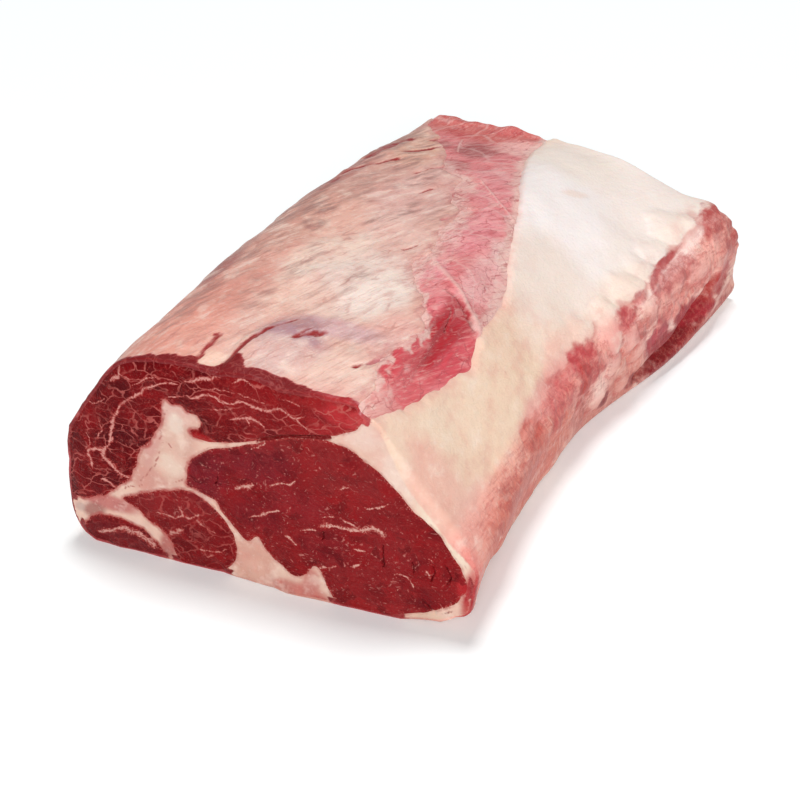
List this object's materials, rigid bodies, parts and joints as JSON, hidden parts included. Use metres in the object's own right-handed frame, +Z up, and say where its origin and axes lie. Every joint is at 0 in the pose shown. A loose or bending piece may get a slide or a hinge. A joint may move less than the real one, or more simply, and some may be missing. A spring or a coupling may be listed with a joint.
{
  "type": "raw beef rib roast",
  "caption": "Raw boneless beef rib roast lying on its flat rib side, cut across at both ends, with lean muscles running through a deep slope of fat and a bare strip of meat along its top.",
  "frame": {"origin": "middle of the base's bounding box, on the surface the roast lies on", "axes": "+Y along the roast, away from the thicker front end; +X towards the side with the deep fat slope; +Z up"},
  "size_m": [0.2348, 0.364, 0.1211],
  "materials": {
    "white_fat": "satin, slightly moist",
    "lean_cap_muscle": "moist, finely grained",
    "lean_eye_muscle": "moist, finely grained",
    "lean_inner_muscle": "moist, finely grained",
    "lean_rib_side_muscle": "moist, finely grained"
  },
  "bodies": {
    "root": {"fat": "white_fat", "cap_muscle": "lean_cap_muscle", "eye_muscle": "lean_eye_muscle", "inner_muscle": "lean_inner_muscle", "rib_side_muscle": "lean_rib_side_muscle"}
  },
  "joints": []
}
